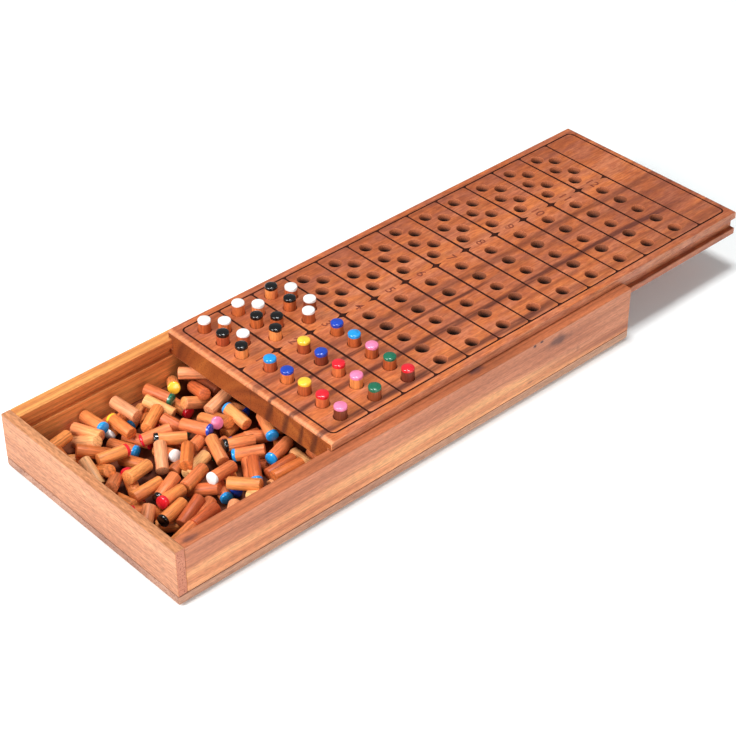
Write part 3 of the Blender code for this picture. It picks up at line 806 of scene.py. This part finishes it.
def make_tray(finishes):
    """Base panel with a rounded lower edge, grooved long walls and plain end walls."""
    bm = bmesh.new()
    add_block(bm, BASE_LOW, BASE_HIGH)
    under = [item for item in bm.edges if all(vert.co.z < BASE_HIGH.z / 2 for vert in item.verts)]
    soften(bm, under, BASE_EDGE_RADIUS, 6)
    soften(bm, outer_edges(bm), EDGE_SOFTNESS, 2)
    mesh = to_mesh("tray_base_panel", bm)
    lay_grain(mesh, (1, 0, 0), (0, 1, 0), (0, 0, 0), (0.31, 0.0, 0.0))
    # The tray's floor, the base's top face, takes dark tones as painted shade between the pegs.
    clad(
        mesh, finishes, ("base", "painted_shade_floor", "base_end"),
        # Faces leaning to the ends take the darker end grain, which is also painted shade on the
        # rounding under them.
        lambda face: 1 if face.normal.z > FACING else 2 * (abs(face.normal.x) > END_LEAN),
    )
    link("tray_base_panel", mesh, "tray", ["tray_base"])

    slot_z, ridge_z = BOARD_LOW.z - FIT_GAP, BOARD_LOW.z + LOWER_FLANGE + FIT_GAP
    for side, place, shift in ((-1, "front", 0.0), (1, "back", 1.7)):
        node, name = place + "_wall", place + "_wall_plank"
        low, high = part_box(node)
        low -= Vector((SEAM_CLOSING, 0.0, SEAM_CLOSING))
        outer = low.y if side < 0 else high.y
        inner = side * INNER_WIDTH / 2
        notch = side * ((BOARD_HIGH.y - BOARD_LOW.y) / 2 + FIT_GAP)
        outline = (
            (outer, low.z), (outer, high.z), (inner, high.z), (inner, ridge_z), (notch, ridge_z),
            (notch, slot_z), (inner, slot_z), (inner, low.z),
        )
        bm = bar(outline, low.x, high.x)
        soften(bm, outer_edges(bm), EDGE_SOFTNESS)
        mesh = to_mesh(name, bm)
        lay_grain(mesh, (1, 0, 0), (0, 0, 1), (0, outer, 0), (shift, 0.0, 0.0))
        link(name, mesh, "tray", [node], finishes[place])

    for place, shift in (("closed", 0.4), ("open", 0.9)):
        node, name = place + "_end_wall", place + "_end_plank"
        low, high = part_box(node)
        low.z -= SEAM_CLOSING
        bm = bmesh.new()
        add_block(bm, low, high)
        soften(bm, list(bm.edges), EDGE_SOFTNESS)
        mesh = to_mesh(name, bm)
        lay_grain(mesh, (0, 1, 0), (0, 0, 1), (low.x, 0, 0), (shift, 0.0, 0.0))
        clad(mesh, finishes, ("end", "end_grain"), lambda face: abs(face.normal.y) > FACING)
        link(name, mesh, "tray", [node])


def code_hole(row, number):
    share = CODE_FIRST_SHARE + (CODE_HOLES - 1 - number) * CODE_STEP_SHARE
    return FIELD_START + (row + CODE_COLUMN_SHARE) * ROW_PITCH, (share - 0.5) * FIELD_WIDTH


def key_hole(row, number):
    column = KEY_COLUMN_SHARES[number % len(KEY_COLUMN_SHARES)]
    share = KEY_FIRST_SHARE + number * KEY_STEP_SHARE
    return FIELD_START + (row + column) * ROW_PITCH, (share - 0.5) * FIELD_WIDTH


def corner(x, y, radius, quarter):
    """Points of a rounded corner inside a box's corner, left about from a quarter turn on."""
    start = quarter * math.pi / 2
    reach = radius * math.sqrt(2)
    x, y = (
        x - reach * math.cos(start + math.pi / 4), y - reach * math.sin(start + math.pi / 4)
    )
    turns = [start + math.pi / 2 * step / CORNER_STEPS for step in range(CORNER_STEPS + 1)]
    return [(x + radius * math.cos(turn), y + radius * math.sin(turn)) for turn in turns]


def star_side(x, way):
    """A star's arm that reaches from a line into a cell, from low to high across the board."""
    made = []
    for share in (*(-step for step in STAR_STEPS), *reversed(STAR_STEPS)):
        reach = STAR_ARM * (1 - abs(share) ** STAR_BEND) ** (1 / STAR_BEND)
        if reach > LINE_WIDTH / 2:
            made.append((x + way * (reach - LINE_WIDTH / 2), STAR_Y + share * STAR_SPREAD))
    return made


def cell_outline(near, far, side, near_corner, far_corner, stars=False):
    """A cell or the frame from above, corner by corner, with a side at each hand."""
    return [
        *corner(far, -side, far_corner, -1),
        *(star_side(far, -1) if stars else ()),
        *corner(far, side, far_corner, 0),
        *corner(near, side, near_corner, 1),
        *(reversed(star_side(near, 1)) if stars else ()),
        *corner(near, -side, near_corner, 2),
    ]


def line_shape(name, low_z, high_z):
    """The burnt frame, dividers and stars as one flat solid."""
    half, side = LINE_WIDTH / 2, FIELD_WIDTH / 2
    lines = [row * ROW_PITCH for row in range(ROW_COUNT + 1)]
    lines.append(ROW_COUNT * ROW_PITCH + HEADER_LENGTH)
    outer = FRAME_CORNER + LINE_WIDTH
    outlines = [cell_outline(-FRAME_REACH - half, lines[-1] + half, side + half, outer, outer)]
    for row, (near, far) in enumerate(zip(lines, lines[1:])):
        first, header = row == 0, row == ROW_COUNT
        outlines.append(cell_outline(
            near + half - FRAME_REACH * first, far - half, side - half,
            FRAME_CORNER if first else CELL_CORNER, FRAME_CORNER if header else CELL_CORNER,
            not header,
        ))
    curve = bpy.data.curves.new(name, "CURVE")
    curve.dimensions = "2D"
    curve.fill_mode = "BOTH"
    curve.extrude = (high_z - low_z) / 2
    for points in outlines:
        spline = curve.splines.new("POLY")
        spline.points.add(len(points) - 1)
        spline.use_cyclic_u = True
        for point, (x, y) in zip(spline.points, points):
            point.co = (x, y, 0.0, 1.0)
    return baked(name, curve, Matrix.Translation((FIELD_START, 0.0, (low_z + high_z) / 2)))


def baked(name, data, place):
    """Mesh of a curve or text, welded and moved to its place."""
    holder = shown(name, data)
    mesh = applied(holder)
    bpy.data.objects.remove(holder)
    bm = bmesh.new()
    bm.from_mesh(mesh)
    bmesh.ops.remove_doubles(bm, verts=bm.verts, dist=WELD)
    bmesh.ops.transform(bm, matrix=place, verts=bm.verts)
    bpy.data.meshes.remove(mesh)
    return to_mesh(name, bm)


def add_drill(bm, x, y):
    """A drill's shape that leaves a round hole with a slightly flared rim."""
    rings = []
    for radius, z in (
        (HOLE_RADIUS, TOP_Z - HOLE_DEPTH),
        (HOLE_RADIUS, TOP_Z - HOLE_FLARE),
        (HOLE_RADIUS + 0.3 * HOLE_FLARE, TOP_Z - 0.3 * HOLE_FLARE),
        (HOLE_RADIUS + HOLE_FLARE, TOP_Z + 0.02 * HOLE_FLARE),
        (HOLE_RADIUS + HOLE_FLARE, TOP_Z + OVERRUN),
    ):
        turns = [2 * math.pi * step / HOLE_SIDES for step in range(HOLE_SIDES)]
        rings.append([
            bm.verts.new((x + radius * math.cos(turn), y + radius * math.sin(turn), z))
            for turn in turns
        ])
    for lower, upper in zip(rings, rings[1:]):
        for step in range(HOLE_SIDES):
            after = (step + 1) % HOLE_SIDES
            face = bm.faces.new((lower[step], lower[after], upper[after], upper[step]))
            face.smooth = True
    bm.faces.new(list(reversed(rings[0])))
    bm.faces.new(rings[-1])


def cut(target, mesh):
    """Have an object cut by a mesh, and give the object that holds the mesh."""
    tool = shown(mesh.name, mesh)
    modifier = target.modifiers.new("cut", "BOOLEAN")
    modifier.operation = "DIFFERENCE"
    modifier.solver = "EXACT"
    modifier.object = tool
    return tool


def board_finish(face):
    """Number of a board face's finish: top, cut end, drilled or side."""
    inside = BOARD_START + TINY < face.center.x < BOARD_HIGH.x - TINY
    if abs(face.normal.x) > FACING and not inside:
        return 1
    if face.use_smooth or abs(face.center.z - (TOP_Z - HOLE_DEPTH)) < WELD:
        return 2
    outside = abs(face.center.y) > BOARD_HIGH.y - 2 * FLANGE_REACH
    return 3 if abs(face.normal.y) > SIDE_LEAN and outside else 0


def lay_board_grain(mesh):
    lay_grain(mesh, (1, 0, 0), (0, 1, 0), (BOARD_START, 0, TOP_Z))


def make_board(finishes):
    """The sliding board with its side grooves, drilled holes and burnt lines and numbers."""
    half = (BOARD_HIGH.y - BOARD_LOW.y) / 2
    core = half - FLANGE_REACH
    low_z, high_z = BOARD_LOW.z + LOWER_FLANGE, TOP_Z - UPPER_FLANGE
    outline = (
        (-half, BOARD_LOW.z), (half, BOARD_LOW.z), (half, low_z), (core, low_z), (core, high_z),
        (half, high_z), (half, TOP_Z), (-half, TOP_Z), (-half, high_z), (-core, high_z),
        (-core, low_z), (-half, low_z),
    )
    bm = bar(outline, BOARD_START, BOARD_HIGH.x)
    worn = [
        item for item in bm.edges
        if min(vert.co.z for vert in item.verts) > TOP_Z - TINY
        and abs(item.verts[0].co.x - item.verts[1].co.x) < TINY
    ]
    soften(bm, worn, BOARD_END_RADIUS, 4)
    soften(bm, outer_edges(bm), EDGE_SOFTNESS)
    blank = shown("board_blank", to_mesh("board_blank", bm))

    bm = bmesh.new()
    for row in range(ROW_COUNT):
        for number in range(CODE_HOLES):
            add_drill(bm, *code_hole(row, number))
        for number in range(KEY_HOLES):
            add_drill(bm, *key_hole(row, number))
    tools = [cut(blank, to_mesh("drills", bm))]
    tools.append(cut(blank, line_shape("line_cutter", TOP_Z - LINE_DEPTH, TOP_Z + OVERRUN)))
    mesh = applied(blank)
    for item in (blank, *tools):
        bpy.data.objects.remove(item)
    mesh.name = "peg_board_panel"
    clad(mesh, finishes, ("board", "board_end", "drilled", "board_side"), board_finish)
    mesh.set_sharp_from_angle(angle=SHARP_ANGLE)
    for face in mesh.polygons:
        flat = max(abs(value) for value in face.normal) >= FLAT
        face.use_smooth = face.material_index == 2 or not flat
    lay_board_grain(mesh)
    link("peg_board_panel", mesh, "board", ["peg_board"])

    mesh = line_shape("burnt_lines", TOP_Z - LINE_DEPTH, TOP_Z - LINE_RECESS)
    lay_board_grain(mesh)
    link("burnt_lines", mesh, "board", (), finishes["burnt"])
    make_numbers(finishes)


def make_numbers(finishes):
    """Row numbers on the centre line, reading from the near end."""
    bm = bmesh.new()
    for row in range(ROW_COUNT):
        text = bpy.data.curves.new("number", "FONT")
        text.body = str(row + 1)
        text.align_x = "CENTER"
        text.align_y = "CENTER"
        text.size = DIGIT_HEIGHT / DIGIT_FONT_SHARE
        text.extrude = DIGIT_PROUD
        text.offset = DIGIT_WEIGHT
        text.resolution_u = 4
        x = FIELD_START + (row + 0.5) * ROW_PITCH
        place = Matrix.Translation((x, STAR_Y, TOP_Z)) @ Matrix.Rotation(-math.pi / 2, 4, "Z")
        mesh = baked("number", text, place)
        bm.from_mesh(mesh)
        bpy.data.meshes.remove(mesh)
    mesh = to_mesh("row_numbers", bm)
    lay_board_grain(mesh)
    link("row_numbers", mesh, "board", (), finishes["scorched"])


class Turnery:
    """Collects turned shapes, with the grain and tone of each, into one mesh."""

    def __init__(self):
        self.points, self.faces, self.smooth, self.grain, self.tone = [], [], [], [], []

    def turn(self, profile, place, shift, tone, wave=None):
        """Revolve (radius, height) steps round +Z; a wave lifts the first two of them."""
        base = len(self.points)
        for step, (radius, height) in enumerate(profile):
            lift = wave if wave is not None and step < 2 else np.zeros(PEG_FACETS)
            for turn, rise in zip(PEG_TURNS, lift):
                local = Vector((radius * math.cos(turn), radius * math.sin(turn), height + rise))
                self.points.append(tuple(place @ local))
                self.grain.append((local.z + shift[0], local.x + shift[1], local.y + shift[2]))
                self.tone.append(tone)
        last = base + (len(profile) - 1) * PEG_FACETS
        for low in range(base, last, PEG_FACETS):
            for turn in range(PEG_FACETS):
                after, high = (turn + 1) % PEG_FACETS, low + PEG_FACETS
                self.faces.append((low + turn, low + after, high + after, high + turn))
                self.smooth.append(True)
        self.faces.append(tuple(base + turn for turn in reversed(range(PEG_FACETS))))
        self.faces.append(tuple(last + turn for turn in range(PEG_FACETS)))
        self.smooth += [False, False]

    def mesh(self, name):
        made = bpy.data.meshes.new(name)
        made.from_pydata(self.points, [], self.faces)
        made.polygons.foreach_set("use_smooth", self.smooth)
        layer = made.attributes.new("grain", "FLOAT_VECTOR", "POINT")
        layer.data.foreach_set("vector", np.array(self.grain, np.float32).ravel())
        layer = made.attributes.new("tone", "FLOAT", "POINT")
        layer.data.foreach_set("value", np.array(self.tone, np.float32))
        made.update()
        made.set_sharp_from_angle(angle=SHARP_ANGLE)
        return made


def dowel(turnery, place, radius, length, shift, tone):
    """A bare dowel from the place's origin along +Z, its cut edges slightly broken."""
    steps = ((PEG_EDGE, 0.0), (PEG_EDGE_BREAK, PEG_EDGE_BREAK), (0.0, PEG_EDGE))
    profile = [(radius - inset, height) for inset, height in steps]
    profile += [(radius - inset, length - height) for inset, height in reversed(steps)]
    turnery.turn(profile, place, shift, tone)


def paint_cap(turnery, place, radius, length, depth, shift, draw):
    """Enamel over the top of a dowel: a wavy lower edge, a round shoulder and a low dome."""
    wave = PAINT_WAVE * sum(
        draw.uniform(-1, 1) * np.cos(order * PEG_TURNS + draw.uniform(0, ANY_TURN))
        for order in (1, 2, 3)
    )
    full, start, top = radius + PAINT_PROUD, length - depth, length - PAINT_DOME
    profile = [(radius - 2 * PAINT_PROUD, start), (full, start + PAINT_PROUD)]
    for turn in (math.pi / 2 * step / 4 for step in range(5)):
        inset, drop = PAINT_SHOULDER * (1 - math.cos(turn)), PAINT_SHOULDER * (1 - math.sin(turn))
        profile.append((full - inset, top - drop))
    for share in (0.75, 0.45, 0.15):
        profile.append(((full - PAINT_SHOULDER) * share, length - PAINT_DOME * share**2))
    turnery.turn(profile, place, shift, 0.5, wave)


def make_placed_pegs(finishes):
    """The pegs in play. Each is a dowel with a dipped top and rides on its own body."""
    draw = np.random.RandomState(STANDING_SEED)
    for kind, rows, hole in (("code", CODE_ROWS, code_hole), ("key", KEY_ROWS, key_hole)):
        for row, paints in enumerate(rows):
            for number, tint in enumerate(paints):
                node = "%s_peg_row_%d_hole_%d" % (kind, row + 1, number + 1)
                low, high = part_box(node)
                x, y = hole(row, number)
                turn = Matrix.Rotation(draw.uniform(0, ANY_TURN), 4, "Z")
                place = Matrix.Translation((x, y, low.z)) @ turn
                shift = draw.uniform(-1, 1, 3) * CUT_SPREAD
                tone = STANDING_TONE + STANDING_SPREAD * draw.standard_normal()
                tone = np.clip(tone, 0.25, 0.95)
                length, depth = high.z - low.z, PAINT_DEPTH * draw.uniform(0.85, 1.1)
                wood_part, cap = Turnery(), Turnery()
                bare = length - DOWEL_END_SHARE * depth
                dowel(wood_part, place, PEG_RADIUS, bare, shift, tone)
                paint_cap(cap, place, PEG_RADIUS, length, depth, shift, draw)
                name = "%s_dowel_%d_%d" % (kind, row + 1, number + 1)
                link(name, wood_part.mesh(name), node, [node], finishes["peg"])
                name = "%s_cap_%d_%d" % (kind, row + 1, number + 1)
                link(name, cap.mesh(name), node, [node], finishes[tint])


# The heap's layout, worked out as in the frame.
def sphere_directions():
    """Unit directions spread evenly over a half sphere."""
    golden = math.pi * (3 - math.sqrt(5))
    heights = (np.arange(SPHERE_DIRECTIONS) + 0.5) / SPHERE_DIRECTIONS
    turns = golden * np.arange(SPHERE_DIRECTIONS)
    flat = np.sqrt(1 - heights**2)
    return np.stack([flat * np.cos(turns), flat * np.sin(turns), heights], axis=1)


def axis_of(heading, tilt):
    """Unit axis of a peg from its heading and tilt in degrees."""
    turn, lift = math.radians(heading), math.radians(tilt)
    flat = math.cos(lift)
    return np.array([flat * math.cos(turn), flat * math.sin(turn), math.sin(lift)])


def place_grain(middle):
    """Round a place in the heap, so that it stays the same wherever the script runs."""
    return np.round(np.asarray(middle) / PLACE_GRAIN_SHARE) * PLACE_GRAIN_SHARE


def angle_grain(angle):
    return round(angle / ANGLE_GRAIN_DEGREES) * ANGLE_GRAIN_DEGREES


def in_pegs(length):
    """A length as a multiple of the peg's length, the unit in which the heap is laid out."""
    return np.round(np.asarray(length) / PEG_LENGTH, RATIO_DIGITS)


class Heap:
    """Loose pegs in a box, in peg lengths from its corner.

    Each clears all others but the one of its own group that it lies on.
    """

    def __init__(self, size):
        self.size = in_pegs(size)
        self.radius = float(in_pegs(PEG_RADIUS))
        self.gap = float(in_pegs(FIT_GAP))
        flats = self.radius * (1 - math.cos(math.pi / PEG_SIDES))
        self.least_bite = 2 * (flats + float(in_pegs(BITE_LEAST)))
        self.most_bite = 2 * (flats + float(in_pegs(BITE_MOST)))
        self.middles = np.zeros((0, 3))
        self.axes = np.zeros((0, 3))
        self.groups = np.zeros(0, dtype=int)
        self.looks = []
        self.sphere = sphere_directions()
        self.draw = np.random.RandomState(HEAP_SEED)

    def reach(self, axes, directions):
        """How far a peg reaches from its middle along each direction."""
        along = np.abs(np.sum(axes * directions, axis=-1))
        return along / 2 + self.radius * np.sqrt(np.maximum(0.0, 1 - along**2))

    def gaps(self, apart, axis, others, ways):
        """Widest gap between a peg and each of some others, seen along the given ways."""
        span = np.abs(np.sum(apart[:, None] * ways, axis=2))
        return np.max(span - self.reach(axis, ways) - self.reach(others[:, None], ways), axis=1)

    def fits(self, middle, axis, group):
        """True where a peg lies in the box and clears all others but one of its own group."""
        extent = self.reach(axis, np.eye(3)) + self.gap
        if np.any(middle < extent) or np.any(middle + extent > self.size):
            return False
        apart = self.middles - middle
        near = np.sum(apart**2, axis=1) < (1 + 2 * self.radius) ** 2
        if not near.any():
            return True
        apart, others = apart[near], self.axes[near]
        across = apart - (apart @ axis)[:, None] * axis
        beside = apart - np.sum(apart * others, axis=1)[:, None] * others
        both = np.broadcast_to(axis, others.shape)
        own = np.stack([both, others, np.cross(axis, others), across, beside, apart], axis=1)
        own = own / np.maximum(np.linalg.norm(own, axis=2, keepdims=True), TINY)
        gaps = self.gaps(apart, axis, others, own)
        tight = gaps < self.gap
        if not tight.any():
            return True
        apart, others, gaps = apart[tight], others[tight], gaps[tight]
        hosts = self.groups[near][tight]
        gaps = np.maximum(gaps, self.gaps(apart, axis, others, self.sphere[None]))
        tight = gaps < self.gap
        held = (gaps >= -self.most_bite) & (hosts == group)
        return tight.sum() < 2 and bool(np.all(held | ~tight))

    def joined(self, middle, axis, group):
        """True where the cores of a peg and one of its group are so close that their sides bite."""
        mine = self.groups == group
        if group < 0 or not mine.any():
            return True
        half = 0.5 - self.radius
        apart, others = self.middles[mine] - middle, self.axes[mine]
        lean, along, their_along = others @ axis, apart @ axis, np.sum(apart * others, axis=1)
        own = np.clip((along - lean * their_along) / np.maximum(1 - lean**2, TINY), -half, half)
        theirs = np.clip(own * lean - their_along, -half, half)
        own = np.clip(along + lean * theirs, -half, half)
        theirs = np.clip(own * lean - their_along, -half, half)
        between = apart + theirs[:, None] * others - own[:, None] * axis
        return bool(np.linalg.norm(between, axis=1).min() <= 2 * self.radius - self.least_bite)

    def add(self, middle, axis, group):
        self.middles = np.vstack([self.middles, middle])
        self.axes = np.vstack([self.axes, axis])
        self.groups = np.append(self.groups, group)
        self.looks.append(None)

    def pushed(self, middle, axis, way, group):
        """Furthest clear place from a clear start along a way, or None where the start is taken."""
        middle = place_grain(middle)
        if not self.fits(middle, axis, group):
            return None
        step = PUSH_SHARE
        while self.fits(place_grain(middle + step * way), axis, group):
            middle = place_grain(middle + step * way)
        for _ in range(PUSH_HALVINGS):
            step /= 2
            if self.fits(place_grain(middle + step * way), axis, group):
                middle = place_grain(middle + step * way)
        return middle

    def lowered(self, x, y, axis, group):
        """Lower a peg from above, then push it to its group where it hasn't met it."""
        top = self.size[2] - self.reach(axis, np.array((0.0, 0.0, 1.0))) - self.gap
        down = np.array((0.0, 0.0, -1.0))
        middle = self.pushed((x, y, top - PLACE_GRAIN_SHARE), axis, down, group)
        if middle is None or self.joined(middle, axis, group):
            return middle
        mine = self.middles[self.groups == group]
        apart = mine[np.argmin(np.sum((mine - middle) ** 2, axis=1))] - middle
        middle = self.pushed(middle, axis, apart / np.linalg.norm(apart), group)
        return middle if self.joined(middle, axis, group) else None

    def settled(self, middle, heading, tilt, group):
        """Let a peg slip, turn and tilt down to where its neighbours hold it."""
        for attempt in range(SETTLE_TRIES):
            fine = max(SETTLE_FINEST_SHARE, 1 - attempt / SETTLE_TRIES)
            shift = self.draw.uniform(-1, 1, 3) * fine * SETTLE_SHARE
            shift[2] = -abs(shift[2])
            turn, lift = self.draw.uniform(-1, 1, 2) * fine * SETTLE_TURN_DEGREES
            turn, lift = angle_grain(heading + turn), angle_grain(tilt + lift)
            lower, axis = place_grain(middle + shift), axis_of(turn, lift)
            if self.fits(lower, axis, group) and self.joined(lower, axis, group):
                middle, heading, tilt = lower, turn, lift
        return middle, axis_of(heading, tilt)

    def drop(self, x, y, heading, group, tries=DROP_TRIES, stray=DROP_STRAY_SHARE):
        """Set a peg down near a place, as low as a few tries find, and tell if it had room."""
        found = []
        for attempt in range(tries):
            wide = attempt / tries
            nudge = self.draw.uniform(-1, 1, 4) * wide
            turned = angle_grain(heading + nudge[2] * DROP_TURN_DEGREES)
            tilted = angle_grain(nudge[3] * DROP_TILT_DEGREES)
            shift = nudge[:2] * stray
            middle = self.lowered(x + shift[0], y + shift[1], axis_of(turned, tilted), group)
            if middle is not None:
                found.append((middle[2] + wide * self.radius, turned, tilted, middle))
            if len(found) == DROP_PICKS:
                break
        if not found:
            return False
        _, turned, tilted, middle = min(found, key=lambda item: item[0])
        self.add(*self.settled(middle, turned, tilted, group), group)
        return True


def make_heap():
    """Places of the loose pegs: a layer on the tray's floor, then the pegs on top of it."""
    open_length = BOARD_START - INNER_START
    heap = Heap((HEAP_REACH_SHARE * open_length, INNER_WIDTH, PEG_SPACE_HEIGHT))
    length = float(in_pegs(open_length))
    zone = heap.size[:2] / (GROUPS_ALONG, GROUPS_ACROSS)

    def fill(group, count):
        """Drop pegs anywhere in a group's zone until it has enough of them."""
        along, across = divmod(group, GROUPS_ACROSS)
        for _ in range(FILL_TRIES):
            if np.sum(heap.groups == group) >= count:
                break
            x, y = zone * ((along, across) + heap.draw.uniform(0, 1, 2))
            heap.drop(x, y, angle_grain(heap.draw.uniform(0, 360)), group, FILL_PICKS)

    for group in range(GROUPS_ALONG * GROUPS_ACROSS):
        fill(group, GROUP_FLOOR_PEGS)
    for number, (along, across, heading, _) in enumerate(LONE_PEGS):
        x, y = along * length, across * heap.size[1]
        if not heap.drop(x, y, heading, -1 - number):
            heap.drop(x, y, heading, -1 - number, WIDE_DROP_TRIES, max(heap.size))
    for along, across, heading, look in HEAP_PEGS:
        x, y = along * length, across * heap.size[1]
        zone_along, zone_across = (np.array((x, y)) / zone).astype(int)
        group = zone_along * GROUPS_ACROSS + zone_across
        if np.sum(heap.groups == group) < GROUP_PEGS and heap.drop(x, y, heading, group):
            heap.looks[-1] = look
    for group in range(GROUPS_ALONG * GROUPS_ACROSS):
        fill(group, GROUP_PEGS)
    return heap


def make_loose_pegs(finishes):
    """The heap in the tray: bare dowels and pegs with a dipped end, lying as in the frame."""
    heap = make_heap()
    start = Vector((INNER_START, -INNER_WIDTH / 2, FLOOR_Z))
    draw = np.random.RandomState(LOOSE_SEED)
    counts, tips = {}, {}
    radius = PEG_RADIUS - LOOSE_THINNING
    for number in sorted(set(heap.groups), key=lambda item: (item < 0, abs(item))):
        node, own_paint = "loose_peg_group_%d" % (number + 1), None
        if number < 0:
            own_paint = LONE_PEGS[-1 - number][3]
            counts[own_paint] = counts.get(own_paint, 0) + 1
            node = "loose_peg_%s_%d" % (own_paint, counts[own_paint])
        dowels = Turnery()
        for index in np.flatnonzero(heap.groups == number):
            look = own_paint or heap.looks[index]
            if look is None and draw.uniform() < PAINTED_SHARE:
                look = MORE_PAINTS[draw.randint(len(MORE_PAINTS))]
            shift = draw.uniform(-1, 1, 3) * CUT_SPREAD
            tone = WOOD_TONES.get(look, PAINTED_TONE) + TONE_SPREAD * draw.standard_normal()
            if look is None:
                tone = draw.uniform(0.12, 0.6)
            tone = float(np.clip(tone, 0.02, 0.95))
            turn = Vector(heap.axes[index]).to_track_quat("Z", "Y").to_matrix().to_4x4()
            middle = start + Vector(heap.middles[index]) * PEG_LENGTH
            place = Matrix.Translation(middle) @ turn
            place = place @ Matrix.Translation((0.0, 0.0, -PEG_LENGTH / 2))
            place = place @ Matrix.Rotation(draw.uniform(0, ANY_TURN), 4, "Z")
            length = PEG_LENGTH
            if look in PAINTS:
                depth = PAINT_DEPTH * draw.uniform(0.8, 1.15)
                length -= DOWEL_END_SHARE * depth
                cap = tips.setdefault(look, Turnery())
                paint_cap(cap, place, radius, PEG_LENGTH, depth, shift, draw)
            dowel(dowels, place, radius, length, shift, tone)
        name = node.replace("loose_peg", "loose_dowel")
        link(name, dowels.mesh(name), "tray", [node], finishes["peg"])
    for look, cap in sorted(tips.items()):
        name = "loose_tips_" + look
        link(name, cap.mesh(name), "tray", (), finishes[look])


make_camera()
make_studio()
FINISHES = make_finishes()
make_tray(FINISHES)
make_board(FINISHES)
make_placed_pegs(FINISHES)
make_loose_pegs(FINISHES)
